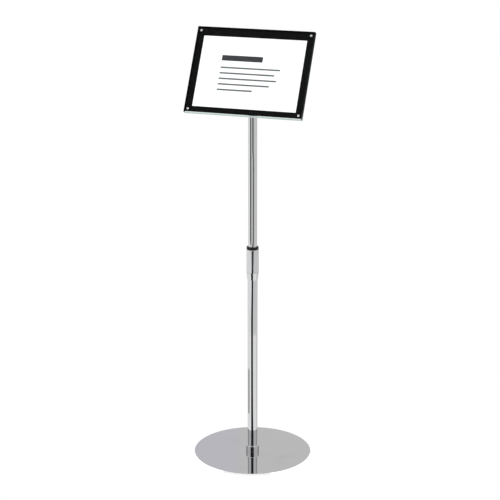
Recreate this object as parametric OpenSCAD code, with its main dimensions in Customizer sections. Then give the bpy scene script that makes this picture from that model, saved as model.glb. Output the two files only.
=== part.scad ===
// Telescopic sign stand: a round weighted base, a two-part chrome pole with a
// twist lock, a friction tilt head and a clear two-sheet holder closed by magnets.
// Units are millimetres, +Z is up and the sign faces -Y.
// The origin is on the pole's axis, in the plane the foot pads rest on.

/* [Base] */
// Diameter of the round base plate
base_d = 340; // [340:5:400]
// Thickness of the base plate
base_t = 5; // [4.5:0.5:8]
// Height of the rubber foot pads under the plate
pad_h = 1.5; // [1:0.5:3]
// Number of foot pads
pad_count = 6; // [4:1:12]
// Height of the collar round the foot of the pole
flange_h = 17.5; // [12:0.5:26]

/* [Pole] */
// Height of the twist sleeve's lower end above the base plate
lock_h = 548; // [500:1:600]
// Length of the sliding upper tube
upper_len = 690; // [640:5:720]
// Height of the tilt pivot above the floor, which sets how far the pole is drawn out
pivot_z = 1115.2; // [1000:0.2:1160]

/* [Sign holder] */
// Width of the clear sheets
sheet_w = 338; // [320:1:339]
// Height of the clear sheets
sheet_h = 250; // [235:1:280]
// Thickness of each clear sheet
sheet_t = 6; // [6:0.5:9]
// Lean of the sign back from upright, in degrees
lean = 29.4; // [0:0.2:60]
// Width of the printed sign
print_w = 297; // [200:1:300]
// Height of the printed sign
print_h = 205; // [148:1:212]
// How far the printed sign sits below the middle of the sheets
print_drop = 2.2; // [0:0.1:4]
// Height of the clear strip left under the black backing film
clear_strip = 4; // [0.5:0.5:6]
// Diameter of the corner magnets
magnet_d = 8; // [5:0.5:10]

/* [Hidden] */
$fn = 96;
slip = 0.08;        // radial clearance of a running or sliding fit
seat = 0.05;        // radial clearance of parts fixed together
gap = 0.3;          // clearance between parts that move past each other

rim_r = 1.5;        // rounding of the base plate's rim
top_z = pad_h + base_t;

pad_d = 20;
pad_pcd = 300;

tube_wall = 1.2;
lower_r = 14;
upper_r = 12.5;
lower_bore = lower_r - tube_wall;
upper_bore = upper_r - tube_wall;
lower_len = lock_h + 30;
upper_top = pivot_z - 24;
upper_bottom = upper_top - upper_len;

bolt_r = 4;         // M8 countersunk bolt that holds the pole
bolt_head_r = 8;
bolt_head_h = 4;
bolt_len = 30;
plug_h = 30;
flange_r = 19.2;

lock_r = 17.1;      // outside of the twist sleeve and the collet's ring
taper_h = 22;
thread_r = 15.6;
thread_len = 26;
sleeve_h = 68;
ring_h = 7;
cone_z = 38;        // heights inside the sleeve, from its lower end
neck_z = 58;
collet_z = 32;
collet_skirt_r = 15.3;
collet_neck_r = 14.3;
collet_wall_gap = 0.38;
collet_slot_w = 1.6;

bush_h = 12;        // guide bush at the foot of the upper tube
bush_spigot = 20;
bush_hole_r = 8;

shoulder_h = 6;     // head socket
socket_len = 40;
tongue_t = 10;
knuckle_r = 11;
pivot_r = 3;        // M6 pivot bolt
grub_r = 2.5;
grub_len = 7;
grub_drops = [12, 28];

washer_t = 1;       // friction washers
washer_r = 10;
ear_t = 3;
ear_x = tongue_t / 2 + washer_t + 2 * seat;
ear_out = ear_x + ear_t;

rear_y = 25;        // pivot to the rear sheet's back face
plate_t = 3;
plate_w = 80;
plate_h = 60;
plate_corner = 8;
screw_x = 30;
screw_z = 20;
screw_r = 2;        // M4 countersunk
screw_head_r = 4;
screw_head_h = 2.2;
screw_len = 7.5;
insert_r = 2.8;
insert_len = 4.9;

film_t = 0.3;
print_t = 0.2;
sheet_gap = 0.7;    // room for the film and the print
front_y = rear_y + sheet_t + sheet_gap;
magnet_t = 5;
magnet_x = sheet_w / 2 - 10.5;
magnet_z = sheet_h / 2 - 11;

knob_r = 14;
knob_len = 16;
knob_lobes = 6;
knob_washer_r = 8;
knob_washer_t = 1.2;
knob_x = ear_out + knob_washer_t + 2 * seat;
knob_insert_r = 5;
knob_insert_len = 10;
pivot_head_r = 5.5;
pivot_head_h = 3.5;

// ---- helpers ----

// A straight tube standing on z = 0.
module pipe(r_out, r_in, h) {
    difference() {
        cylinder(r = r_out, h = h);
        translate([0, 0, -1])
            cylinder(r = r_in, h = h + 2);
    }
}

// A ring about the X axis, from x to x + t.
module ring_x(x, t, r_out, r_in) {
    translate([x, 0, 0])
        rotate([0, 90, 0])
            pipe(r_out, r_in, t);
}

// A solid rod about the X axis, from x to x + t.
module rod_x(x, t, r) {
    translate([x, 0, 0])
        rotate([0, 90, 0])
            cylinder(r = r, h = t);
}

// A solid rod running forward (towards -Y) from y.
module rod_fwd(x, y, z, t, r) {
    translate([x, y, z])
        rotate([90, 0, 0])
            cylinder(r = r, h = t);
}

// Puts a shape drawn about the pivot, with the sign upright, where the sign leans.
module on_head() {
    translate([0, 0, pivot_z])
        rotate([-lean, 0, 0])
            children();
}

// A flat sheet in the plane of the sign. y is the distance in front of the pivot.
module sheet(w, z_low, z_high, y, t) {
    translate([-w / 2, -y - t, z_low])
        cube([w, t, z_high - z_low]);
}

// Repeats a rod at the four magnet places.
module at_magnets(y, t, r) {
    for (sx = [-1, 1], sz = [-1, 1])
        rod_fwd(sx * magnet_x, -y, sz * magnet_z, t, r);
}

// ---- base ----

module base_plate() {
    color("silver")
        difference() {
            translate([0, 0, pad_h])
                rotate_extrude($fn = 180) {
                    square([base_d / 2 - rim_r, base_t]);
                    translate([0, rim_r])
                        square([base_d / 2, base_t - 2 * rim_r]);
                    for (z = [rim_r, base_t - rim_r])
                        translate([base_d / 2 - rim_r, z])
                            circle(r = rim_r);
                }
            translate([0, 0, pad_h - 1])
                cylinder(r = bolt_r + 0.3, h = base_t + 2);
            translate([0, 0, pad_h - 0.01])
                cylinder(r1 = bolt_head_r + 0.4, r2 = bolt_r + 0.3, h = bolt_head_h + 0.1);
        }
}

module foot_pads() {
    color("dimgray")
        for (i = [0 : pad_count - 1])
            rotate([0, 0, 360 * i / pad_count])
                translate([pad_pcd / 2, 0, 0])
                    cylinder(d = pad_d, h = pad_h);
}

module base_bolt() {
    color("gray")
        translate([0, 0, pad_h + 0.2])
            difference() {
                union() {
                    cylinder(r1 = bolt_head_r, r2 = bolt_r, h = bolt_head_h);
                    cylinder(r = bolt_r, h = bolt_len);
                }
                translate([0, 0, -1])
                    cylinder(r = 2.9, h = 3.4, $fn = 6);
            }
}

module tube_plug() {
    color("gray")
        translate([0, 0, top_z])
            pipe(lower_bore - seat, bolt_r + seat, plug_h);
}

module base_flange() {
    color("silver")
        translate([0, 0, top_z])
            rotate_extrude()
                polygon([
                    [lower_r + seat, 0],
                    [flange_r, 0],
                    [flange_r, flange_h - 1],
                    [flange_r - 1, flange_h],
                    [lower_r + seat, flange_h]
                ]);
}

module lower_tube() {
    color("silver")
        translate([0, 0, top_z])
            pipe(lower_r, lower_bore, lower_len);
}

// ---- twist lock ----

module lock_ferrule() {
    color("silver")
        translate([0, 0, top_z + lock_h])
            rotate_extrude()
                polygon([
                    [lower_r + seat, -taper_h],
                    [lower_r + 0.5, -taper_h],
                    [lock_r, 0],
                    [thread_r, 0],
                    [thread_r, thread_len],
                    [lower_r + seat, thread_len]
                ]);
}

module lock_sleeve() {
    bore = thread_r + slip;
    neck = collet_neck_r + collet_wall_gap;
    color("silver")
        translate([0, 0, top_z + lock_h])
            rotate_extrude()
                polygon([
                    [bore, gap],
                    [lock_r, gap],
                    [lock_r, sleeve_h - 0.8],
                    [lock_r - 0.8, sleeve_h],
                    [neck, sleeve_h],
                    [neck, neck_z],
                    [bore, cone_z]
                ]);
}

module lock_collet() {
    bore = upper_r + slip;
    color("#202020")
        translate([0, 0, top_z + lock_h])
            difference() {
                rotate_extrude()
                    polygon([
                        [bore, collet_z],
                        [collet_skirt_r, collet_z],
                        [collet_skirt_r, cone_z],
                        [collet_neck_r, neck_z],
                        [collet_neck_r, sleeve_h + gap],
                        [lock_r, sleeve_h + gap],
                        [lock_r, sleeve_h + ring_h - 1],
                        [lock_r - 1, sleeve_h + ring_h],
                        [bore, sleeve_h + ring_h]
                    ]);
                for (a = [0, 90])
                    rotate([0, 0, a])
                        translate([-lock_r, -collet_slot_w / 2, collet_z - 1])
                            cube([2 * lock_r, collet_slot_w, sleeve_h - collet_z - 4]);
            }
}

// ---- sliding pole ----

module upper_tube() {
    color("silver")
        difference() {
            translate([0, 0, upper_bottom])
                pipe(upper_r, upper_bore, upper_len);
            for (drop = grub_drops)
                rod_fwd(0, upper_r + 2, upper_top - drop, upper_r, grub_r + seat);
        }
}

module tube_bush() {
    color("#303030")
        translate([0, 0, upper_bottom - bush_h])
            rotate_extrude()
                polygon([
                    [bush_hole_r, 0],
                    [lower_bore - slip - 0.6, 0],
                    [lower_bore - slip, 0.6],
                    [lower_bore - slip, bush_h - seat],
                    [upper_bore - seat, bush_h - seat],
                    [upper_bore - seat, bush_h + bush_spigot],
                    [bush_hole_r, bush_h + bush_spigot]
                ]);
}

module head_socket() {
    color("silver")
        difference() {
            union() {
                translate([0, 0, upper_top - socket_len])
                    cylinder(r = upper_bore - seat, h = socket_len + 1);
                translate([0, 0, upper_top + seat])
                    cylinder(r = upper_r, h = shoulder_h - seat);
                translate([-tongue_t / 2, -knuckle_r, upper_top + shoulder_h - 1])
                    cube([tongue_t, 2 * knuckle_r, pivot_z - upper_top - shoulder_h + 1]);
                translate([0, 0, pivot_z])
                    rod_x(-tongue_t / 2, tongue_t, knuckle_r);
            }
            translate([0, 0, pivot_z])
                rod_x(-tongue_t, 2 * tongue_t, pivot_r + seat);
            for (drop = grub_drops)
                rod_fwd(0, upper_r, upper_top - drop, grub_len + 1, grub_r + seat);
        }
}

module head_screws() {
    color("#404040")
        for (drop = grub_drops)
            difference() {
                rod_fwd(0, upper_r - 0.2, upper_top - drop, grub_len, grub_r);
                translate([0, upper_r, upper_top - drop])
                    rotate([90, 0, 0])
                        cylinder(r = 1.4, h = 2.5, $fn = 6);
            }
}

// ---- tilt head ----

module tilt_bracket() {
    color("#303030")
        on_head()
            difference() {
                union() {
                    translate([0, plate_t - rear_y, 0])
                        rotate([90, 0, 0])
                            linear_extrude(plate_t) {
                                square([plate_w - 2 * plate_corner, plate_h], center = true);
                                square([plate_w, plate_h - 2 * plate_corner], center = true);
                                for (sx = [-1, 1], sz = [-1, 1])
                                    translate([
                                        sx * (plate_w / 2 - plate_corner),
                                        sz * (plate_h / 2 - plate_corner)
                                    ])
                                        circle(r = plate_corner);
                            }
                    for (x = [-ear_out, ear_x]) {
                        translate([x, plate_t - rear_y - 1, -knuckle_r])
                            cube([ear_t, rear_y - plate_t + 1, 2 * knuckle_r]);
                        rod_x(x, ear_t, knuckle_r);
                    }
                }
                rod_x(-2 * ear_out, 4 * ear_out, pivot_r + seat);
                for (sx = [-1, 1], sz = [-1, 1]) {
                    rod_fwd(sx * screw_x, 1 - rear_y + plate_t, sz * screw_z, plate_t + 2, screw_r + 0.2);
                    translate([sx * screw_x, plate_t - rear_y + 0.01, sz * screw_z])
                        rotate([90, 0, 0])
                            cylinder(r1 = screw_head_r + 0.3, r2 = screw_r + 0.2, h = screw_head_h);
                }
            }
}

module friction_washers() {
    color("#d8d8d0")
        on_head()
            for (x = [-tongue_t / 2 - seat - washer_t, tongue_t / 2 + seat])
                ring_x(x, washer_t, washer_r, pivot_r + seat);
}

module pivot_bolt() {
    color("gray")
        on_head()
            difference() {
                union() {
                    rod_x(-ear_out - seat, ear_out + knob_x + knob_insert_len - 1, pivot_r);
                    rod_x(-ear_out - seat - pivot_head_h, pivot_head_h, pivot_head_r);
                }
                translate([-ear_out - pivot_head_h - 1, 0, 0])
                    rotate([0, 90, 0])
                        cylinder(r = 2.3, h = 3, $fn = 6);
            }
}

module knob_washer() {
    color("gray")
        on_head()
            ring_x(ear_out + seat, knob_washer_t, knob_washer_r, pivot_r + seat);
}

module tilt_knob() {
    color("#181818")
        on_head()
            difference() {
                union() {
                    rod_x(knob_x + 4, knob_len - 4, knob_r);
                    rod_x(knob_x, 5, knob_r - 5);
                }
                for (i = [0 : knob_lobes - 1])
                    rotate([360 * i / knob_lobes, 0, 0])
                        translate([0, 0, knob_r + 3])
                            rod_x(knob_x + 3, knob_len, 5.5);
                rod_x(knob_x - 1, knob_insert_len + 1 + seat, knob_insert_r + seat);
            }
}

module knob_insert() {
    color("goldenrod")
        on_head()
            ring_x(knob_x, knob_insert_len, knob_insert_r, pivot_r + slip);
}

module bracket_screws() {
    color("gray")
        on_head()
            for (sx = [-1, 1], sz = [-1, 1])
                translate([sx * screw_x, plate_t - rear_y - 0.1, sz * screw_z])
                    rotate([90, 0, 0])
                        difference() {
                            union() {
                                cylinder(r1 = screw_head_r, r2 = screw_r, h = screw_head_h);
                                cylinder(r = screw_r, h = screw_len);
                            }
                            translate([0, 0, -1])
                                cylinder(r = 1.3, h = 2.4, $fn = 6);
                        }
}

module sheet_inserts() {
    color("goldenrod")
        on_head()
            for (sx = [-1, 1], sz = [-1, 1])
                translate([sx * screw_x, -rear_y - seat, sz * screw_z])
                    rotate([90, 0, 0])
                        pipe(insert_r - seat, screw_r + seat, insert_len - seat);
}

// ---- sign holder ----

module rear_sheet() {
    color([0.75, 0.9, 0.87, 0.4])
        on_head()
            difference() {
                sheet(sheet_w, -sheet_h / 2, sheet_h / 2, rear_y, sheet_t);
                at_magnets(rear_y + sheet_t - magnet_t - seat, magnet_t + 1, magnet_d / 2 + seat);
                for (sx = [-1, 1], sz = [-1, 1])
                    rod_fwd(sx * screw_x, 1 - rear_y, sz * screw_z, insert_len + 1, insert_r);
            }
}

module rear_magnets() {
    color("gainsboro")
        on_head()
            at_magnets(rear_y + sheet_t - magnet_t, magnet_t, magnet_d / 2);
}

module backing_film() {
    color("black")
        on_head()
            sheet(sheet_w - 0.4, clear_strip - sheet_h / 2, sheet_h / 2 - 0.2, rear_y + sheet_t + seat, film_t);
}

module print_card() {
    color("white")
        on_head()
            translate([0, 0, -print_drop])
                sheet(print_w, -print_h / 2, print_h / 2, rear_y + sheet_t + film_t + 2 * seat, print_t);
}

module front_sheet() {
    color([0.75, 0.9, 0.87, 0.4])
        on_head()
            difference() {
                sheet(sheet_w, -sheet_h / 2, sheet_h / 2, front_y, sheet_t);
                at_magnets(front_y - 1, magnet_t + 1 + seat, magnet_d / 2 + seat);
            }
}

module front_magnets() {
    color("gainsboro")
        on_head()
            at_magnets(front_y, magnet_t, magnet_d / 2);
}

base_plate();
foot_pads();
base_bolt();
tube_plug();
base_flange();
lower_tube();
lock_ferrule();
lock_sleeve();
lock_collet();
upper_tube();
tube_bush();
head_socket();
head_screws();
tilt_bracket();
friction_washers();
pivot_bolt();
knob_washer();
bracket_screws();
sheet_inserts();
rear_sheet();
rear_magnets();
backing_film();
print_card();
front_sheet();
front_magnets();
tilt_knob();
knob_insert();
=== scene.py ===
import math

import bpy
from mathutils import Matrix, Vector


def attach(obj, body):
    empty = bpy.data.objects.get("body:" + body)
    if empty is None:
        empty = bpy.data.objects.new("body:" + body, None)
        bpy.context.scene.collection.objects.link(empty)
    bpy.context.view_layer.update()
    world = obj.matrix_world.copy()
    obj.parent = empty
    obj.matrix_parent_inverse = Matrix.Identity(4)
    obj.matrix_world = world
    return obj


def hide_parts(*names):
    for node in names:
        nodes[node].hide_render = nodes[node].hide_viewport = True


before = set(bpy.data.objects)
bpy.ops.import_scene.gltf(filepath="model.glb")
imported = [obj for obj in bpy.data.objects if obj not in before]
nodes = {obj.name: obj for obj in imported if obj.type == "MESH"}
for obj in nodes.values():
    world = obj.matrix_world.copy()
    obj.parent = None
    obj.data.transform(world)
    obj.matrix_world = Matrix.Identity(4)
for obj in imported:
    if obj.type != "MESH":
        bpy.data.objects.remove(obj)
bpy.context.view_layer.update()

scene = bpy.context.scene

# ---------------------------------------------------------------- sizes, in metres, as in part.scad
MM = 0.001
PAD = 1.5 * MM                  # thickness of the rubber feet
FOOT_R, FOOT_RING = 10 * MM, 150 * MM             # a foot's radius, and its distance from the axis
TOP = 6.5 * MM                  # top face of the base plate
BASE_R = 169.98 * MM
COLLAR_R, COLLAR_H = 19.2 * MM, 17.5 * MM
LOWER_R, LOWER_IN = 14 * MM, 12.8 * MM
LOWER_LEN = 578 * MM
LOWER_FIT = 14.05 * MM          # bore of what sits on the lower tube
UPPER_R, UPPER_IN = 12.5 * MM, 11.3 * MM
UPPER_LEN = 690 * MM
LOCK_Z = TOP + 548 * MM         # foot of the twist sleeve
LOCK_R, NECK_R = 17.1 * MM, 15.6 * MM             # outside of the lock, and of the ferrule's neck
SLEEVE_H, LOCK_H = 68 * MM, 75 * MM               # the sleeve alone, and with the ring on top
CONE_LOW, CONE_HIGH = 38 * MM, 58 * MM            # the sleeve's clamping cone, above its foot
COLLET_SLOT = 1.6 * MM
PIVOT_Z = 1115.2 * MM
PIVOT_R, PIVOT_HOLE = 3 * MM, 3.05 * MM           # the bolt's shank, and the holes it passes
UPPER_TOP = PIVOT_Z - 24 * MM
GRUB_DROPS = (12 * MM, 28 * MM)                   # the grub screws, below the top of the upper tube
LEAN = math.radians(29.4)
EAR_R, EAR_X, EAR_T = 11 * MM, 6.1 * MM, 3 * MM   # the yoke's ears: rounding, inner face, thickness
EAR_OUT = EAR_X + EAR_T         # outer face of an ear
PLATE_W, PLATE_H, PLATE_T = 80 * MM, 60 * MM, 3 * MM
PLATE_CORNER = 8 * MM
SCREW_X, SCREW_Z = 30 * MM, 20 * MM               # the plate's screws, from its middle
KNOB_R, KNOB_HUB = 14 * MM, 9.4 * MM              # outside of the lobes, and where they begin
KNOB_DIP = 3.1 * MM             # depth of the dips between them
KNOB_LOBES = 6
REAR_Y = 25 * MM                # pivot to the rear sheet's back face
FRONT_Y = 31.7 * MM             # pivot to the front sheet's back face
CARD_Y = 31.6 * MM              # pivot to the card's front face
CARD_DROP = 2.2 * MM            # the card's middle, below the holder's
SHEET_W, SHEET_H, SHEET_T = 338 * MM, 250 * MM, 6 * MM
SHEET_CUT = 0.35 * MM           # chamfer round the sheets
MAG_X, MAG_Z = 158.5 * MM, 114 * MM
MAG_R, MAG_T = 4 * MM, 5 * MM
MAG_CLEAR = 0.05 * MM           # round a magnet, and at the blind end of its pocket
OVERCUT = 1 * MM                # how far outside a piece a cutter starts
HEAD = Matrix.Translation((0, 0, PIVOT_Z)) @ Matrix.Rotation(-LEAN, 4, "X")
TO_HOLDER = HEAD.to_3x3().inverted()

# ---------------------------------------------------------------- places and levels of the studio
VIEW_AZ = math.radians(18.94)   # the side the stand is looked at from, turned from -Y towards +X
CAMERA_FAR, CAMERA_HIGH = 4.252, 1.874            # distance from the pole, and height
CAMERA_SIDE = -0.0074           # how far it stands off the line to the pole
CAMERA_PITCH = math.radians(16.44)
CAMERA_LENS, CAMERA_SENSOR = 112.64, 36.0         # in millimetres
FLOOR_HALF = 40.0
FLOOR_WHITE = 1.01              # what the camera sees of the floor: just white
RIM = 0.171                     # cloths start here, just outside the base plate
CLOTH_Z = 0.8 * MM
# Cloths on the floor: first and last angle from the viewing side, inner and outer radius, brightness,
# and the first and last angle at the outer radius where they differ.
CLOTHS = (
    (-31, 18, RIM, 1.20, 0.005, -34, 8),
    (-36, 8, 1.20, 1.85, 0.01, -19, 15),
    (-19, 15, 1.85, 2.20, 0.06, -23, 24),
    (-66, -38, RIM, 1.05, 1.00),
    (-66, -38, 1.05, 1.80, 0.90),
    (18, 95, RIM, 1.05, 0.88, 10, 95),
    (128, 152, RIM, 5.00, 0.62),
    (-130, -72, 0.31, 0.70, 0.40),
    (-38, 11, 2.20, 3.90, 0.60),
    (11, 36, 2.20, 3.90, 0.05),
    (-22, 30, 3.90, 9.00, 0.22),
    (-68, -38, 2.20, 9.00, 0.03),
    (152, 208, RIM, 12.0, 0.10),
    (125, 152, 5.00, 12.0, 0.02),
)
# A bright ring round the base that only the base mirrors: outer radius, brightness, height above a cloth.
RIM_CARD_OUT, RIM_CARD_LEVEL, RIM_CARD_LIFT = 0.186, 1.30, 0.2 * MM
ACRYLIC_IOR = 1.49
CREASE = math.radians(32)       # edges sharper than this shade as edges
ON_AXIS = 1e-7                  # a smaller radius counts as none
WHITE = (1, 1, 1, 1)


# ---------------------------------------------------------------- node helpers
class Nodes:
    """Short ways to add and join shader nodes."""

    def __init__(self, tree):
        self.t = tree
        self.t.nodes.clear()

    def add(self, kind, **sets):
        n = self.t.nodes.new(kind)
        for k, v in sets.items():
            setattr(n, k, v)
        return n

    def plug(self, socket, value):
        if isinstance(value, bpy.types.NodeSocket):
            self.t.links.new(value, socket)
        else:
            socket.default_value = value

    def math(self, op, a, b=0.0, c=0.0, clamp=False):
        n = self.add("ShaderNodeMath", operation=op, use_clamp=clamp)
        for s, v in zip(n.inputs, (a, b, c)):
            self.plug(s, v)
        return n.outputs[0]

    def span(self, value, lo, hi, to_lo=0.0, to_hi=1.0, smooth=True):
        """Maps lo..hi to to_lo..to_hi, and holds the ends."""
        n = self.add("ShaderNodeMapRange", interpolation_type="SMOOTHSTEP" if smooth else "LINEAR")
        for s, v in zip(n.inputs, (value, lo, hi, to_lo, to_hi)):
            self.plug(s, v)
        return n.outputs[0]

    def noise(self, vector, scale, detail=3.0, rough=0.55):
        n = self.add("ShaderNodeTexNoise")
        self.plug(n.inputs["Vector"], vector)
        self.plug(n.inputs["Scale"], scale)
        self.plug(n.inputs["Detail"], detail)
        self.plug(n.inputs["Roughness"], rough)
        return n.outputs["Fac"]

    def stretch(self, vector, sx, sy, sz):
        n = self.add("ShaderNodeMapping")
        self.plug(n.inputs["Vector"], vector)
        n.inputs["Scale"].default_value = (sx, sy, sz)
        return n.outputs[0]

    def mix(self, fac, a, b):
        n = self.add("ShaderNodeMix", data_type="RGBA")
        self.plug(n.inputs["Factor"], fac)
        self.plug(n.inputs[6], a)
        self.plug(n.inputs[7], b)
        return n.outputs[2]

    def bump(self, height, strength, distance, normal=None):
        n = self.add("ShaderNodeBump")
        n.inputs["Strength"].default_value = strength
        n.inputs["Distance"].default_value = distance
        self.plug(n.inputs["Height"], height)
        if normal is not None:
            self.plug(n.inputs["Normal"], normal)
        return n.outputs[0]


def new_material(name):
    """A material, its node helper, its Principled shader, its output and object coordinates."""
    m = bpy.data.materials.new(name)
    m.use_nodes = True
    k = Nodes(m.node_tree)
    out = k.add("ShaderNodeOutputMaterial")
    b = k.add("ShaderNodeBsdfPrincipled")
    k.plug(out.inputs["Surface"], b.outputs[0])
    where = k.add("ShaderNodeTexCoord").outputs["Object"]
    return m, k, b, out, where


def chrome(name, colour, rough, smudge, lines):
    """Polished plating: a clear mirror with faint draw lines, handling haze and pinprick dust."""
    m, k, b, out, p = new_material(name)
    b.inputs["Metallic"].default_value = 1.0
    haze = k.noise(p, 14.0, 4.0, 0.6)
    fine = k.noise(k.stretch(p, 900, 900, lines), 1.0, 2.0)
    dust = k.span(k.noise(p, 900.0, 2.0), 0.70, 0.76)
    r = k.math("MULTIPLY_ADD", k.span(haze, 0.45, 0.75), smudge, rough)
    r = k.math("MULTIPLY_ADD", fine, smudge * 0.6, r)
    r = k.math("MULTIPLY_ADD", dust, 0.10, r)
    k.plug(b.inputs["Roughness"], r)
    dull = tuple(c * 0.93 for c in colour[:3]) + (1,)
    k.plug(b.inputs["Base Color"], k.mix(k.span(haze, 0.5, 0.8), colour, dull))
    k.plug(b.inputs["Normal"], k.bump(k.noise(p, 55.0, 1.0), 0.02, 0.0004))
    return m


def moulded(name, colour, rough, grain, grain_scale=2600.0, spec=0.5):
    """Injection-moulded plastic or rubber: fine grain, faint mottling, polished where it is touched."""
    m, k, b, out, p = new_material(name)
    b.inputs["Specular IOR Level"].default_value = spec
    g = k.noise(p, grain_scale, 2.0)
    broad = k.noise(p, 60.0, 4.0)
    light = tuple(min(1, c * 1.5 + 0.003) for c in colour[:3]) + (1,)
    k.plug(b.inputs["Base Color"], k.mix(k.span(broad, 0.35, 0.8, 0.0, 0.6), colour, light))
    k.plug(b.inputs["Roughness"], k.span(broad, 0.3, 0.7, rough - 0.08, rough + 0.08))
    k.plug(b.inputs["Normal"], k.bump(g, grain, 0.0003))
    return m


def brushed(name, colour, rough, turn=(40, 900, 900)):
    """Plain steel or brass with turning marks and darker stains."""
    m, k, b, out, p = new_material(name)
    b.inputs["Metallic"].default_value = 1.0
    marks = k.noise(k.stretch(p, *turn), 3.0, 3.0)
    stain = k.noise(p, 120.0, 4.0, 0.6)
    dark = tuple(c * 0.72 for c in colour[:3]) + (1,)
    k.plug(b.inputs["Base Color"], k.mix(k.span(stain, 0.45, 0.75), colour, dark))
    k.plug(b.inputs["Roughness"], k.span(marks, 0.3, 0.7, rough - 0.07, rough + 0.1))
    k.plug(b.inputs["Normal"], k.bump(marks, 0.12, 0.0002))
    return m


def powder_coat(name, colour):
    """Baked powder paint: orange peel with fine specks."""
    m, k, b, out, p = new_material(name)
    peel = k.noise(p, 700.0, 2.0)
    speck = k.noise(p, 4200.0, 2.0)
    broad = k.noise(p, 45.0, 4.0)
    light = tuple(c * 1.8 + 0.01 for c in colour[:3]) + (1,)
    k.plug(b.inputs["Base Color"], k.mix(k.span(broad, 0.4, 0.8, 0.0, 0.5), colour, light))
    k.plug(b.inputs["Roughness"], k.span(speck, 0.3, 0.7, 0.38, 0.55))
    n = k.bump(peel, 0.25, 0.0004)
    k.plug(b.inputs["Normal"], k.bump(speck, 0.2, 0.00015, n))
    return m


def clear_face(name, tint):
    """The polished face of a clear sheet: tinted a little, with a sharp reflection and faint wipe marks."""
    m, k, b, out, p = new_material(name)
    k.t.nodes.remove(b)
    see = k.add("ShaderNodeBsdfTransparent")
    see.inputs["Color"].default_value = tint
    shine = k.add("ShaderNodeBsdfGlossy")
    wipe = k.noise(k.stretch(p, 25, 25, 190), 1.0, 4.0, 0.6)
    k.plug(shine.inputs["Roughness"], k.span(wipe, 0.45, 0.8, 0.015, 0.09))
    fres = k.add("ShaderNodeFresnel")
    fres.inputs["IOR"].default_value = ACRYLIC_IOR
    back = k.add("ShaderNodeNewGeometry").outputs["Backfacing"]
    fac = k.math("MULTIPLY", fres.outputs[0], k.math("SUBTRACT", 1.0, back))
    mixer = k.add("ShaderNodeMixShader")
    k.plug(mixer.inputs[0], fac)
    k.plug(mixer.inputs[1], see.outputs[0])
    k.plug(mixer.inputs[2], shine.outputs[0])
    k.plug(out.inputs["Surface"], mixer.outputs[0])
    return m


def painted_dark_edge(name):
    """A polished edge of a clear sheet, painted nearly black teal: a painted reflection of the black film
    inside, and plain near-black painted shade where it is seen from within the sheet.
    """
    m, k, b, out, p = new_material(name)
    # the painted reflection's darkness changes at random across the edge
    depth = k.noise(p, 30.0, 3.0)
    k.plug(b.inputs["Base Color"], k.mix(depth, (0.006, 0.011, 0.010, 1), (0.016, 0.024, 0.022, 1)))
    k.plug(b.inputs["Roughness"], k.span(k.noise(p, 400.0), 0.3, 0.7, 0.06, 0.16))
    b.inputs["IOR"].default_value = ACRYLIC_IOR
    # painted shade: seen from within the sheet, the edge is plain near-black
    inside = k.add("ShaderNodeBsdfDiffuse")
    k.plug(inside.inputs["Color"], k.mix(depth, (0.002, 0.003, 0.003, 1), (0.004, 0.006, 0.0055, 1)))
    mixer = k.add("ShaderNodeMixShader")
    k.plug(mixer.inputs[0], k.add("ShaderNodeNewGeometry").outputs["Backfacing"])
    k.plug(mixer.inputs[1], b.outputs[0])
    k.plug(mixer.inputs[2], inside.outputs[0])
    k.plug(out.inputs["Surface"], mixer.outputs[0])
    return m


def sawn_edge(name):
    """A sawn edge of a clear sheet: frosted pale green with fine saw marks across its thickness."""
    m, k, b, out, p = new_material(name)
    saw = k.noise(k.stretch(p, 2400, 60, 60), 1.0, 3.0, 0.6)
    cloud = k.noise(p, 90.0, 3.0)
    col = k.mix(cloud, (0.30, 0.365, 0.355, 1), (0.38, 0.455, 0.445, 1))
    k.plug(b.inputs["Base Color"], k.mix(k.span(saw, 0.35, 0.7, 0.0, 0.35), col, (0.48, 0.56, 0.55, 1)))
    k.plug(b.inputs["Roughness"], k.span(saw, 0.3, 0.7, 0.42, 0.62))
    b.inputs["IOR"].default_value = ACRYLIC_IOR
    k.plug(b.inputs["Normal"], k.bump(saw, 0.35, 0.0002))
    return m


def card_stock(name, colour):
    """Matt card, plain or inked, with a fine fibre."""
    m, k, b, out, p = new_material(name)
    fibre = k.noise(p, 1500.0, 4.0, 0.65)
    tone = k.noise(p, 30.0, 2.0)
    warm = tuple(c * 0.975 for c in colour[:3]) + (1,)
    k.plug(b.inputs["Base Color"], k.mix(tone, colour, warm))
    k.plug(b.inputs["Roughness"], k.span(fibre, 0.3, 0.7, 0.55, 0.7))
    k.plug(b.inputs["Normal"], k.bump(fibre, 0.08, 0.0001))
    return m


def film(name):
    """Black vinyl behind the clear sheet: satin, with a faint orange peel."""
    m, k, b, out, p = new_material(name)
    peel = k.noise(p, 500.0, 2.0)
    broad = k.noise(p, 18.0, 3.0)
    k.plug(b.inputs["Base Color"], k.mix(broad, (0.0012, 0.0012, 0.0014, 1), (0.0028, 0.0028, 0.0031, 1)))
    k.plug(b.inputs["Roughness"], k.span(peel, 0.3, 0.7, 0.32, 0.44))
    b.inputs["Specular IOR Level"].default_value = 0.12
    k.plug(b.inputs["Normal"], k.bump(peel, 0.06, 0.0002))
    return m


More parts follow.
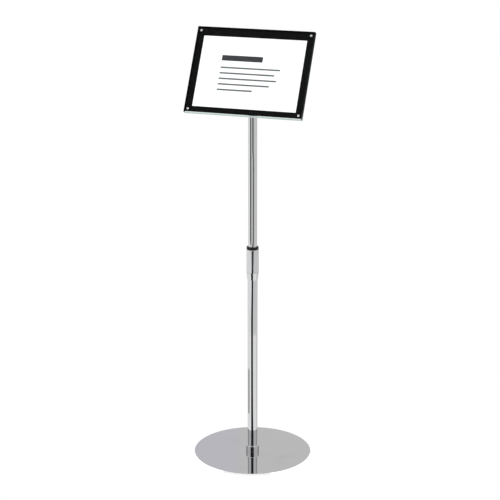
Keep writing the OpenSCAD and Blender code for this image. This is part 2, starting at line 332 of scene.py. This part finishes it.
MAT = {
    "chrome": chrome("chrome", (0.76, 0.765, 0.775, 1), 0.025, 0.05, 6),
    "mirror": chrome("mirror_base", (0.70, 0.70, 0.71, 1), 0.02, 0.035, 900),
    "nylon": moulded("black_nylon", (0.005, 0.005, 0.005, 1), 0.42, 0.15, spec=0.25),
    "rubber": moulded("black_rubber", (0.02, 0.02, 0.02, 1), 0.72, 0.4, 1500.0),
    "knob": moulded("black_knob", (0.015, 0.015, 0.016, 1), 0.48, 0.35, 1900.0),
    "washer": moulded("pale_nylon", (0.70, 0.68, 0.60, 1), 0.45, 0.15),
    "steel": brushed("zinc_steel", (0.60, 0.61, 0.62, 1), 0.30),
    "black_steel": brushed("black_steel", (0.05, 0.05, 0.052, 1), 0.38),
    "brass": brushed("brass", (0.75, 0.56, 0.26, 1), 0.28),
    "nickel": brushed("nickel_plate", (0.95, 0.95, 0.94, 1), 0.17, (300, 300, 300)),
    "coat": powder_coat("powder_coat", (0.016, 0.016, 0.018, 1)),
    "face": clear_face("clear_face", (0.984, 0.991, 0.989, 1)),
    "face_rear": clear_face("clear_face_rear", (0.925, 0.965, 0.955, 1)),
    # polished sheet edges: painted near-black reflection of the black film
    "edge": painted_dark_edge("painted_dark_edge"),
    "sawn": sawn_edge("sawn_edge"),
    "card": card_stock("white_card", (0.93, 0.93, 0.93, 1)),
    "ink_dark": card_stock("ink_dark", (0.030, 0.031, 0.034, 1)),
    "ink_mid": card_stock("ink_mid", (0.11, 0.115, 0.12, 1)),
    "film": film("black_film"),
}


# ---------------------------------------------------------------- mesh helpers
def piece(name, verts, faces, body, mats, replaces=(), move=None, pick=None):
    """Adds a mesh in the row frame, smooth-shaded with creases, riding on a body.
    pick(normal) gives the index in mats of the finish of a face."""
    if move is not None:
        verts = [move @ Vector(v) for v in verts]
    me = bpy.data.meshes.new(name)
    me.from_pydata([tuple(v) for v in verts], [], faces)
    me.validate()
    for key in mats:
        me.materials.append(MAT[key])
    o = bpy.data.objects.new(name, me)
    scene.collection.objects.link(o)
    if pick is not None:
        for f in me.polygons:
            f.material_index = pick(f.normal)
    for f in me.polygons:
        f.use_smooth = True
    me.set_sharp_from_angle(angle=CREASE)
    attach(o, body)
    if replaces:
        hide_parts(*replaces)
    return o


def fillet(points, radii, steps=4):
    """A closed outline with its corners rounded. radii is one number or one for each corner."""
    n = len(points)
    if not hasattr(radii, "__len__"):
        radii = [radii] * n
    out = []
    for i in range(n):
        a, b, c = (Vector(points[(i + d) % n]) for d in (-1, 0, 1))
        u, v = a - b, c - b
        r = radii[i]
        if r <= 0:
            out.append(tuple(b))
            continue
        u.normalize()
        v.normalize()
        half = math.acos(max(-1, min(1, u.dot(v)))) / 2
        reach = min(r / math.tan(half), 0.49 * (a - b).length, 0.49 * (c - b).length)
        r = reach * math.tan(half)
        centre = b + (u + v).normalized() * (r / math.sin(half))
        s, e = b + u * reach - centre, b + v * reach - centre
        total = math.atan2(s.x * e.y - s.y * e.x, s.dot(e))
        for j in range(steps + 1):
            t = total * j / steps
            out.append((
                centre.x + s.x * math.cos(t) - s.y * math.sin(t),
                centre.y + s.x * math.sin(t) + s.y * math.cos(t),
            ))
    return out


def held(profile, gap=0.3 * MM):
    """Adds a point close to each end of every long side, so that the side shades straight."""
    out = []
    for i, a in enumerate(profile):
        b = profile[(i + 1) % len(profile)]
        long = math.dist(a, b)
        out.append(a)
        if long > 4 * gap and max(a[0], b[0]) > ON_AXIS:
            for t in (gap / long, 1 - gap / long):
                out.append((a[0] + (b[0] - a[0]) * t, a[1] + (b[1] - a[1]) * t))
    return out


def lathe(profile, seg=128, lobes=None):
    """Turns a closed (radius, height) outline about Z. Points on the axis become one vertex.
    lobes(angle, radius) may change the radius as it goes round."""
    verts, rings = [], []
    for r, z in held(profile):
        if r < ON_AXIS:
            rings.append([len(verts)] * seg)
            verts.append((0, 0, z))
            continue
        ring = []
        for i in range(seg):
            a = 2 * math.pi * i / seg
            rr = lobes(a, r) if lobes else r
            ring.append(len(verts))
            verts.append((rr * math.cos(a), rr * math.sin(a), z))
        rings.append(ring)
    faces = []
    n = len(rings)
    for j in range(n):
        p, q = rings[j], rings[(j + 1) % n]
        if len(set(p)) == 1 and len(set(q)) == 1:
            continue
        for i in range(seg):
            k = (i + 1) % seg
            f = []
            for v in (p[i], p[k], q[k], q[i]):
                if v not in f:
                    f.append(v)
            faces.append(f)
    return verts, faces


def rod(r, low, high):
    """The outline of a plain cylinder, for lathe."""
    return [(0, low), (r, low), (r, high), (0, high)]


def about_x(verts):
    """Turns what was made about Z so that it runs along X."""
    return [(z, x, y) for x, y, z in verts]


def forward(verts):
    """Turns what was made about Z so that it runs forward, along -Y."""
    return [(x, -z, y) for x, y, z in verts]


def on_holder(verts):
    """Moves what was made about the pivot to the leaning holder."""
    return [HEAD @ Vector(p) for p in verts]


def shifted(verts, dx=0.0, dy=0.0, dz=0.0):
    return [(x + dx, y + dy, z + dz) for x, y, z in verts]


def joined(*parts):
    """Several meshes as one."""
    verts, faces = [], []
    for v, f in parts:
        n = len(verts)
        verts += list(v)
        faces += [[i + n for i in g] for g in f]
    return verts, faces


def inset(outline, d):
    """An anticlockwise outline moved inwards by d."""
    n = len(outline)
    out = []
    for i in range(n):
        a, b, c = (Vector(outline[(i + s) % n]) for s in (-1, 0, 1))
        u, v = (b - a).normalized(), (c - b).normalized()
        nu, nv = Vector((-u.y, u.x)), Vector((-v.y, v.x))
        m = nu + nv
        out.append(tuple(b + m * (d / max(0.2, 1 + nu.dot(nv)))))
    return out


def slab(outline, y0, y1, cut):
    """A plate with an anticlockwise (x, z) outline between y0 and y1 (y0 < y1), with chamfered rims."""
    small = inset(outline, cut)
    verts = []
    for ring, y in ((small, y0), (outline, y0 + cut), (outline, y1 - cut), (small, y1)):
        verts += [(x, y, z) for x, z in ring]
    n = len(outline)
    faces = [list(range(n)), [3 * n + i for i in reversed(range(n))]]
    for j in range(3):
        for i in range(n):
            k = (i + 1) % n
            faces.append([j * n + i, (j + 1) * n + i, (j + 1) * n + k, j * n + k])
    return verts, faces


def box_outline(w, h):
    return [(-w / 2, -h / 2), (w / 2, -h / 2), (w / 2, h / 2), (-w / 2, h / 2)]


def corners(x, z):
    """The four corners of a rectangle round the middle, from its half sizes."""
    return [(sx * x, sz * z) for sx in (-1, 1) for sz in (-1, 1)]


def drill(o, verts, faces, pick=None):
    """Cuts a closed shape out of a piece. pick(normal) gives the finish of the cut faces."""
    me = bpy.data.meshes.new("cutter")
    me.from_pydata([tuple(v) for v in verts], [], faces)
    me.validate()
    for m in o.data.materials:
        me.materials.append(m)
    if pick is not None:
        for f in me.polygons:
            f.material_index = pick(f.normal)
    cutter = bpy.data.objects.new("cutter", me)
    scene.collection.objects.link(cutter)
    mod = o.modifiers.new("drill", "BOOLEAN")
    mod.operation, mod.object, mod.solver = "DIFFERENCE", cutter, "EXACT"
    mod.material_mode = "INDEX"
    bpy.context.view_layer.update()
    made = bpy.data.meshes.new_from_object(o.evaluated_get(bpy.context.evaluated_depsgraph_get()))
    o.modifiers.remove(mod)
    o.data = made
    bpy.data.objects.remove(cutter)
    for f in made.polygons:
        f.use_smooth = True
    made.set_sharp_from_angle(angle=CREASE)


# ---------------------------------------------------------------- base and lower pole
def build_base():
    """The base plate, its feet, the collar, the lower tube and the metal parts of its lock."""
    hole, sink = 4.3 * MM, 4.1 * MM
    rim = 0.5 * MM
    plate = fillet(
        [(hole, TOP), (hole, PAD + sink), (hole + sink, PAD), (BASE_R, PAD), (BASE_R, TOP)],
        [0, 0, 0.2 * MM, rim, rim], 6)
    v, f = lathe(plate, 256)
    piece("base_disc", v, f, "stand", ["mirror"], ["base_plate"])
    pad = fillet([(0, 0), (FOOT_R - 1.4 * MM, 0), (FOOT_R, 0.9 * MM), (FOOT_R, PAD), (0, PAD)],
                 [0, 0.4 * MM, 0.5 * MM, 0.1 * MM, 0], 3)
    parts = []
    for i in range(6):
        a = math.radians(60 * i)
        v, f = lathe(pad, 48)
        parts.append((shifted(v, FOOT_RING * math.cos(a), FOOT_RING * math.sin(a)), f))
    v, f = joined(*parts)
    piece("feet", v, f, "stand", ["rubber"], ["foot_pads"])
    r, high = COLLAR_R, TOP + COLLAR_H
    foot = r - 0.5 * MM
    collar = fillet(
        [(LOWER_FIT, TOP), (foot, TOP), (foot, TOP + 0.8 * MM), (r, TOP + 0.8 * MM),
         (r, high), (LOWER_FIT + 0.35 * MM, high), (LOWER_FIT, high - 0.5 * MM)],
        [0, 0.1 * MM, 0, 0.2 * MM, 1.1 * MM, 0.15 * MM, 0], 5)
    v, f = lathe(collar, 160)
    piece("foot_collar", v, f, "stand", ["chrome"], ["base_flange"])
    tube = fillet(
        [(LOWER_IN, TOP), (LOWER_R, TOP), (LOWER_R, TOP + LOWER_LEN), (LOWER_IN, TOP + LOWER_LEN)],
        0.3 * MM, 3)
    v, f = lathe(tube, 160)
    piece("pole_lower", v, f, "stand", ["chrome"], ["lower_tube"])
    z = LOCK_Z
    ferrule = fillet(
        [(LOWER_FIT, z - 22 * MM), (14.5 * MM, z - 22 * MM), (LOCK_R, z - 0.5 * MM), (LOCK_R, z),
         (NECK_R, z), (NECK_R, z + 26 * MM), (LOWER_FIT, z + 26 * MM)],
        [0, 0.15 * MM, 1.5 * MM, 0.2 * MM, 0, 0.4 * MM, 0], 4)
    v, f = lathe(ferrule, 160)
    piece("taper_ferrule", v, f, "stand", ["chrome"], ["lock_ferrule"])
    low, high = z + 0.3 * MM, z + SLEEVE_H
    wide, narrow = 15.68 * MM, 14.68 * MM
    sleeve = fillet(
        [(wide, low), (LOCK_R, low), (LOCK_R, high), (narrow, high),
         (narrow, z + CONE_HIGH), (wide, z + CONE_LOW)],
        [0.15 * MM, 0.35 * MM, 0.9 * MM, 0.2 * MM, 0, 0], 5)
    v, f = lathe(sleeve, 160)
    piece("twist_nut", v, f, "twist_sleeve", ["chrome"], ["lock_sleeve"])


def build_collet():
    """The split ring that grips the upper tube, with the black ring seen on top of the sleeve."""
    z = LOCK_Z
    bore, wide, narrow = 12.58 * MM, 15.3 * MM, 14.3 * MM
    foot, ring, top = z + 32 * MM, z + SLEEVE_H + 0.3 * MM, z + LOCK_H
    outline = fillet(
        [(bore, foot), (wide, foot), (wide, z + CONE_LOW), (narrow, z + CONE_HIGH),
         (narrow, ring), (LOCK_R, ring), (LOCK_R, top), (bore, top)],
        [0.2 * MM, 0.5 * MM, 0, 0, 0.2 * MM, 0.4 * MM, 0.9 * MM, 0.5 * MM], 4)
    v, f = lathe(outline, 144)
    o = piece("collet_ring", v, f, "collet", ["nylon"], ["lock_collet"])
    half, low, high = COLLET_SLOT / 2, z + 31 * MM, z + 64 * MM
    sides = [[i, (i + 1) % 4, (i + 1) % 4 + 4, i + 4] for i in range(4)]
    for turn in (0.0, math.pi / 2):
        c, s = math.cos(turn), math.sin(turn)
        pts = [(x * c - y * s, x * s + y * c, h) for h in (low, high)
               for x, y in ((-LOCK_R, -half), (LOCK_R, -half), (LOCK_R, half), (-LOCK_R, half))]
        drill(o, pts, [[0, 3, 2, 1], [4, 5, 6, 7]] + sides)


# ---------------------------------------------------------------- sliding pole and its head
def build_pole():
    """The upper tube, and the plug in its head with a tongue for the pivot."""
    low = UPPER_TOP - UPPER_LEN
    tube = fillet(
        [(UPPER_IN, low), (UPPER_R, low), (UPPER_R, UPPER_TOP), (UPPER_IN, UPPER_TOP)],
        0.3 * MM, 3)
    v, f = lathe(tube, 160)
    o = piece("pole_upper", v, f, "pole", ["chrome"], ["upper_tube"])
    for drop in GRUB_DROPS:
        v, f = lathe(rod(2.55 * MM, 0, 6 * MM), 32)
        drill(o, shifted(forward(v), 0, 15 * MM, UPPER_TOP - drop), f)
    inside, foot = UPPER_IN - 0.05 * MM, UPPER_TOP - 40 * MM
    brim, cap = UPPER_TOP + 0.05 * MM, UPPER_TOP + 6 * MM
    plug = fillet(
        [(0, foot), (inside, foot), (inside, brim), (UPPER_R, brim), (UPPER_R, cap), (0, cap)],
        [0, 0.8 * MM, 0, 0.3 * MM, 1.0 * MM, 0], 4)
    r, n, half = EAR_R, 28, 5 * MM
    tongue = [(-r, cap - 0.5 * MM), (r, cap - 0.5 * MM)]
    for i in range(n + 1):
        a = math.pi * i / n
        tongue.append((r * math.cos(a), PIVOT_Z + r * math.sin(a)))
    tv, tf = slab(tongue, -half, half, 0.6 * MM)
    tv = [(y, -x, z) for x, y, z in tv]
    pv, pf = lathe(plug, 96)
    v, f = joined((pv, pf), (tv, tf))
    o = piece("head_plug", v, f, "pole", ["chrome"], ["head_socket"])
    v, f = lathe(rod(PIVOT_HOLE, -8 * MM, 8 * MM), 48)
    drill(o, shifted(about_x(v), 0, 0, PIVOT_Z), f)


def build_head():
    """The yoke: a plate on the rear sheet, with an ear each side of the tongue."""
    plate = fillet(box_outline(PLATE_W, PLATE_H), PLATE_CORNER, 8)
    parts = [slab(plate, -REAR_Y, PLATE_T - REAR_Y, 0.5 * MM)]
    r, n = EAR_R, 28
    root, flare = 2.6 * MM - REAR_Y, 2.4 * MM
    arc = [(r * math.sin(math.pi * i / n), -r * math.cos(math.pi * i / n)) for i in range(n + 1)]
    ear = [(root, -r - 2.0 * MM), (root + flare, -r)] + arc + [(root + flare, r), (root, r + 2.0 * MM)]
    for x in (-EAR_OUT, EAR_X):
        v, f = slab(ear, x, x + EAR_T, 0.4 * MM)
        parts.append(([(y, a, z) for a, y, z in v], [g[::-1] for g in f]))
    v, f = joined(*parts)
    o = piece("tilt_yoke", v, f, "head", ["coat"], ["tilt_bracket"], HEAD)
    v, f = lathe(rod(PIVOT_HOLE, -12 * MM, 12 * MM), 48)
    drill(o, on_holder(about_x(v)), f)
    wide, hole, sink, through = 4.35 * MM, 2.2 * MM, 2.2 * MM, PLATE_T + OVERCUT
    for x, z in corners(SCREW_X, SCREW_Z):
        v, f = lathe(
            [(0, -OVERCUT), (wide + 0.4 * MM, -OVERCUT), (wide, 0),
             (hole, sink), (hole, through), (0, through)], 40)
        drill(o, on_holder(shifted(forward(v), x, PLATE_T - REAR_Y, z)), f)


def build_pivot():
    """The bolt, with its button head on the left and a plain shank, and the washer under the knob."""
    head_r, head_in, head_out = 5.5 * MM, -EAR_OUT - 0.05 * MM, -EAR_OUT - 3.55 * MM
    tip = EAR_OUT + 10.25 * MM
    shank = fillet(
        [(0, head_out), (head_r, head_out), (head_r, head_in),
         (PIVOT_R, head_in), (PIVOT_R, tip), (0, tip)],
        [0, 2.4 * MM, 0.2 * MM, 0, 0.5 * MM, 0], 5)
    v, f = lathe(shank, 64)
    bolt = piece("clamp_bolt", about_x(v), f, "head", ["steel"], ["pivot_bolt"], HEAD)
    v, f = lathe(rod(2.3 * MM, 0, 3 * MM), 6)
    drill(bolt, on_holder(shifted(about_x(v), -EAR_OUT - 4.2 * MM)), f)
    near, far, washer_r = EAR_OUT + 0.05 * MM, EAR_OUT + 1.25 * MM, 8 * MM
    ring = fillet(
        [(PIVOT_HOLE, near), (washer_r, near), (washer_r, far), (PIVOT_HOLE, far)],
        0.25 * MM, 3)
    v, f = lathe(ring, 64)
    piece("bolt_washer", about_x(v), f, "head", ["steel"], ["knob_washer"], HEAD)


def build_knob():
    """The clamping knob: a hub with six lobes and a blind hole for its insert."""
    x0 = EAR_OUT + 1.3 * MM
    r, hole, deep = KNOB_R, 5.03 * MM, x0 + 10.05 * MM

    def lobes(a, rad):
        if rad < KNOB_HUB:
            return rad
        dip = 0.5 + 0.5 * math.cos(KNOB_LOBES * a)
        return rad - KNOB_DIP * dip ** 2 * min(1.0, (rad - KNOB_HUB) / (3 * MM))

    outline = fillet(
        [(hole, x0), (9 * MM, x0), (9.3 * MM, x0 + 3.2 * MM), (r, x0 + 4.6 * MM), (r, x0 + 13 * MM),
         (10 * MM, x0 + 16 * MM), (0, x0 + 15.4 * MM), (0, deep), (hole, deep)],
        [0.2 * MM, 0.5 * MM, 0.6 * MM, 1.2 * MM, 2.2 * MM, 2.4 * MM, 0, 0, 0], 6)
    v, f = lathe(outline, 144, lobes)
    piece("star_knob", about_x(v), f, "knob", ["knob"], ["tilt_knob"], HEAD)


# ---------------------------------------------------------------- sign holder
def sheet_pick(normal):
    """Which of the sheet's three finishes a face takes: face 0, polished edge 1 (painted dark as a
    reflection of the black film), sawn edge 2.
    """
    n = TO_HOLDER @ normal
    if abs(n.y) > 0.9:
        return 0
    return 2 if n.z < -0.5 else 1


def wall_pick(normal):
    """The walls of a magnet's pocket take the polished edge's finish, painted dark as a reflection of the
    black film; its floor is clear.
    """
    return 0 if abs((TO_HOLDER @ normal).y) > 0.5 else 1


def build_sheet(name, face, y_front, body, node, pocket_y, pocket_dir):
    """y_front is the sheet's front face, as a distance in front of the pivot. The magnets' pockets
    start at pocket_y and run forward (1) or backward (-1)."""
    v, f = slab(box_outline(SHEET_W, SHEET_H), -y_front, SHEET_T - y_front, SHEET_CUT)
    finishes = [face, "edge", "sawn"]
    o = piece(name, v, f, body, finishes, [node], HEAD, pick=sheet_pick)
    for x, z in corners(MAG_X, MAG_Z):
        v, f = lathe(rod(MAG_R + MAG_CLEAR, 0, MAG_T + OVERCUT + MAG_CLEAR), 48)
        v = [(a, pocket_y - pocket_dir * c, b) for a, b, c in v]
        if pocket_dir < 0:
            f = [g[::-1] for g in f]
        drill(o, on_holder(shifted(v, x, 0, z)), f, wall_pick)


def build_magnets(name, y_back, body, node, dome):
    """Four plated discs. y_back is the distance of their flat rear faces in front of the pivot."""
    outline = [(0, 0), (MAG_R, 0), (MAG_R, MAG_T - dome)]
    steps = 10
    for i in range(steps):
        t = i / steps
        outline.append((MAG_R * (1 - t) * 0.985, MAG_T - dome * (1 - t) ** 2 * 0.9))
    outline.append((0, MAG_T))
    parts = []
    for x, z in corners(MAG_X, MAG_Z):
        v, f = lathe(outline, 64)
        parts.append((shifted(forward(v), x, -y_back, z), f))
    v, f = joined(*parts)
    piece(name, v, f, body, ["nickel"], [node], HEAD)


def build_print():
    """Generic layout on the card: plain bars that stand for a heading and lines of text.
    Each bar is its left end, its foot, its width and its height, in millimetres."""
    left, pitch = -86, 16
    ink, bevel = 0.03 * MM, 0.005 * MM
    bars = {"ink_dark": [(left, 33, 118, 16)], "ink_mid": []}
    for i, width in enumerate((172, 158, 166, 148, 102)):
        bars["ink_mid"].append((left, 11 - pitch * i, width, 4.6))
    for key, rows in bars.items():
        parts = []
        for x, z, w, h in rows:
            outline = fillet([(x, z), (x + w, z), (x + w, z + h), (x, z + h)], min(h, 6) * 0.3, 5)
            outline = [(a * MM, b * MM - CARD_DROP) for a, b in outline]
            parts.append(slab(outline, -CARD_Y - ink, -CARD_Y, bevel))
        v, f = joined(*parts)
        piece("print_" + key, v, f, "print", [key], move=HEAD)


def build_holder():
    rear_front = REAR_Y + SHEET_T
    build_sheet("sheet_rear", "face_rear", rear_front, "head", "rear_sheet", -rear_front - OVERCUT, -1)
    build_sheet("sheet_front", "face", FRONT_Y + SHEET_T, "front", "front_sheet", OVERCUT - FRONT_Y, 1)
    build_magnets("discs_front", FRONT_Y, "front", "front_magnets", 1.3 * MM)
    build_magnets("discs_rear", rear_front - MAG_T, "head", "rear_magnets", 0.3 * MM)
    build_print()


# ---------------------------------------------------------------- carried-over CAD nodes
def finish_cad_nodes():
    """Finishes for the nodes that keep their CAD shape."""
    looks = {
        "base_bolt": "steel", "tube_plug": "steel", "tube_bush": "nylon", "head_screws": "black_steel",
        "friction_washers": "washer", "bracket_screws": "steel", "sheet_inserts": "brass",
        "knob_insert": "brass", "backing_film": "film", "print_card": "card",
    }
    for name, key in looks.items():
        me = nodes[name].data
        me.materials.clear()
        me.materials.append(MAT[key])


# ---------------------------------------------------------------- studio
def build_floor():
    s = FLOOR_HALF
    me = bpy.data.meshes.new("floor")
    me.from_pydata([(-s, -s, 0), (s, -s, 0), (s, s, 0), (-s, s, 0)], [], [[0, 1, 2, 3]])
    m, k, b, out, p = new_material("pale_floor")
    tone = k.noise(p, 0.8, 3.0)
    k.plug(b.inputs["Base Color"], k.mix(tone, (0.80, 0.80, 0.80, 1), (0.84, 0.84, 0.84, 1)))
    b.inputs["Roughness"].default_value = 0.9
    b.inputs["Specular IOR Level"].default_value = 0.0
    b.inputs["Emission Color"].default_value = WHITE
    b.inputs["Emission Strength"].default_value = 0.35
    # the camera sees it just white, not brighter, so edges against it keep their width
    white = k.add("ShaderNodeEmission")
    white.inputs["Strength"].default_value = FLOOR_WHITE
    mix = k.add("ShaderNodeMixShader")
    k.plug(mix.inputs[0], k.add("ShaderNodeLightPath").outputs["Is Camera Ray"])
    k.plug(mix.inputs[1], b.outputs[0])
    k.plug(mix.inputs[2], white.outputs[0])
    k.plug(out.inputs["Surface"], mix.outputs[0])
    me.materials.append(m)
    o = bpy.data.objects.new("floor", me)
    scene.collection.objects.link(o)
    o.visible_glossy = False


def cloth_material(name, level, see_through):
    """An even glow. See-through, it lets what lies behind it show as well."""
    m = bpy.data.materials.new(name)
    m.use_nodes = True
    k = Nodes(m.node_tree)
    out = k.add("ShaderNodeOutputMaterial")
    glow = k.add("ShaderNodeEmission")
    glow.inputs["Color"].default_value = WHITE
    glow.inputs["Strength"].default_value = level
    surface = glow.outputs[0]
    if see_through:
        both = k.add("ShaderNodeAddShader")
        k.plug(both.inputs[0], surface)
        k.plug(both.inputs[1], k.add("ShaderNodeBsdfTransparent").outputs[0])
        surface = both.outputs[0]
    k.plug(out.inputs["Surface"], surface)
    return m


def cloth(name, az0, az1, r0, r1, level, far0=None, far1=None, only=None):
    """A cloth on the floor, seen only in reflections. Angles are degrees from the viewing side.

    With only, it lights that piece alone, and the others look through it."""
    far0 = az0 if far0 is None else far0
    far1 = az1 if far1 is None else far1
    seg = max(12, int((az1 - az0) / 3))
    verts, faces = [], []
    for i in range(seg + 1):
        for r, lo, hi in ((r0, az0, az1), (r1, far0, far1)):
            a = VIEW_AZ + math.radians(lo + (hi - lo) * i / seg)
            verts.append((r * math.sin(a), -r * math.cos(a), CLOTH_Z))
    for i in range(seg):
        faces.append([2 * i, 2 * i + 1, 2 * i + 3, 2 * i + 2])
    me = bpy.data.meshes.new(name)
    me.from_pydata(verts, [], faces)
    me.materials.append(cloth_material(name, level, only is not None))
    o = bpy.data.objects.new(name, me)
    scene.collection.objects.link(o)
    if only is not None:
        o.location.z = RIM_CARD_LIFT
        lit = bpy.data.collections.new(name + "_lights")
        lit.objects.link(only)
        o.light_linking.receiver_collection = lit
    o.visible_camera = o.visible_diffuse = o.visible_transmission = False
    o.visible_volume_scatter = o.visible_shadow = False


def build_world():
    """The room: nearly even, with dark cloths on the viewing side. Plain white to the camera."""
    w = bpy.data.worlds.new("studio")
    scene.world = w
    w.use_nodes = True
    k = Nodes(w.node_tree)
    out = k.add("ShaderNodeOutputWorld")
    bg = k.add("ShaderNodeBackground")
    k.plug(out.inputs["Surface"], bg.outputs[0])
    path = k.add("ShaderNodeLightPath")
    d = k.add("ShaderNodeTexCoord").outputs["Generated"]
    xyz = k.add("ShaderNodeSeparateXYZ")
    k.plug(xyz.inputs[0], d)
    z = xyz.outputs[2]
    rad = math.radians

    def times(a, b):
        return k.math("MULTIPLY", a, b)

    def other(share):
        return k.math("SUBTRACT", 1.0, share)

    def along(vec):
        """The cosine of the angle between where the ray goes and a direction."""
        n = k.add("ShaderNodeVectorMath", operation="DOT_PRODUCT")
        k.plug(n.inputs[0], d)
        n.inputs[1].default_value = vec
        return n.outputs["Value"]

    def within(value, lo, hi, soft):
        """1 between lo and hi, 0 outside them, with soft ends."""
        rise = k.span(value, lo - soft, lo + soft)
        fall = k.span(value, hi - soft, hi + soft, 1.0, 0.0)
        return times(rise, fall)

    def darken(level, where, to):
        """The level, brought down to a share of itself where the mask is 1."""
        return times(level, k.span(where, 0.0, 1.0, 1.0, to, False))

    ahead = along((math.sin(VIEW_AZ), -math.cos(VIEW_AZ), 0.0))
    right = along((math.cos(VIEW_AZ), math.sin(VIEW_AZ), 0.0))
    turn = k.math("ARCTAN2", right, ahead)

    # below the horizon it stands for the floor, which mirrors don't see
    below = k.math("ADD", k.span(right, -0.6, 0.6, 0.85, 0.68), k.span(ahead, -0.9, 0.3, 0.05, 0.0))
    # mirrors see a softer ceiling than the one that lights the room, or the base would vanish from above
    ceiling = k.span(path.outputs["Is Glossy Ray"], 0.0, 1.0, 1.95, 1.00, False)
    above = k.span(z, 0.42, 0.95, 0.665, ceiling)
    up = k.span(z, -0.02, 0.02)
    level = k.math("ADD", times(above, up), times(below, other(up)))
    # the dark cloths stand low, and only a mirror seen in a mirror catches them above the floor
    second = k.span(path.outputs["Glossy Depth"], 1.4, 1.6)
    low = times(within(z, 0.0, 0.58, 0.04), second)
    level = darken(level, times(within(turn, rad(-35), rad(24), rad(1.5)), low), 0.03)
    left_side = within(turn, rad(-150), rad(-95), rad(6))
    right_side = within(turn, rad(100), rad(150), rad(6))
    level = darken(level, times(k.math("ADD", left_side, right_side), low), 0.6)
    # dark ceiling panel that the clear front sheet mirrors
    panel_az, panel_up = rad(-27), rad(45.3)
    flat = math.cos(panel_up)
    panel = along((math.sin(panel_az) * flat, -math.cos(panel_az) * flat, math.sin(panel_up)))
    level = darken(level, k.span(panel, math.cos(rad(12)), math.cos(rad(8))), 0.03)
    seen = path.outputs["Is Camera Ray"]
    k.plug(bg.inputs["Strength"], k.math("ADD", times(other(seen), level), seen))
    # a cool wall behind the stand, to the viewer's left
    cool = times(within(turn, rad(-179.55), rad(-150), rad(0.12)), up)
    k.plug(bg.inputs["Color"], k.mix(cool, WHITE, (0.988, 0.977, 1.037, 1)))


def area(name, place, aim, size, power):
    """A square lamp that only lights: neither the camera nor a mirror sees it."""
    lamp = bpy.data.lights.new(name, "AREA")
    lamp.shape = "SQUARE"
    lamp.size = size
    lamp.energy = power
    o = bpy.data.objects.new(name, lamp)
    scene.collection.objects.link(o)
    o.location = place
    o.rotation_mode = "QUATERNION"
    o.rotation_quaternion = (Vector(aim) - Vector(place)).to_track_quat("-Z", "Y")
    o.visible_camera = False
    o.visible_glossy = False


def build_studio():
    build_floor()
    for i, row in enumerate(CLOTHS):
        cloth("flag_%d" % i, *row)
    base = bpy.data.objects["base_disc"]
    cloth("rim_card", -180, 180, RIM, RIM_CARD_OUT, RIM_CARD_LEVEL, only=base)
    build_world()
    area("fill", (-0.9, -3.2, 2.6), (0, 0, 1.0), 2.0, 46.0)


def build_camera():
    """It looks along the viewing side's line, tipped down."""
    cam = bpy.data.cameras.new("camera")
    cam.sensor_width = CAMERA_SENSOR
    cam.lens = CAMERA_LENS
    cam.clip_start, cam.clip_end = 0.05, 200.0
    o = bpy.data.objects.new("camera", cam)
    scene.collection.objects.link(o)
    s, c = math.sin(VIEW_AZ), math.cos(VIEW_AZ)
    far, side = CAMERA_FAR, CAMERA_SIDE
    o.location = (far * s + side * c, -far * c + side * s, CAMERA_HIGH)
    level = math.cos(CAMERA_PITCH)
    look = Vector((-s * level, c * level, -math.sin(CAMERA_PITCH)))
    o.rotation_mode = "QUATERNION"
    o.rotation_quaternion = look.to_track_quat("-Z", "Y")
    scene.camera = o


build_base()
build_collet()
build_pole()
build_head()
build_pivot()
build_knob()
build_holder()
finish_cad_nodes()
build_studio()
build_camera()
scene.view_settings.view_transform = "Standard"
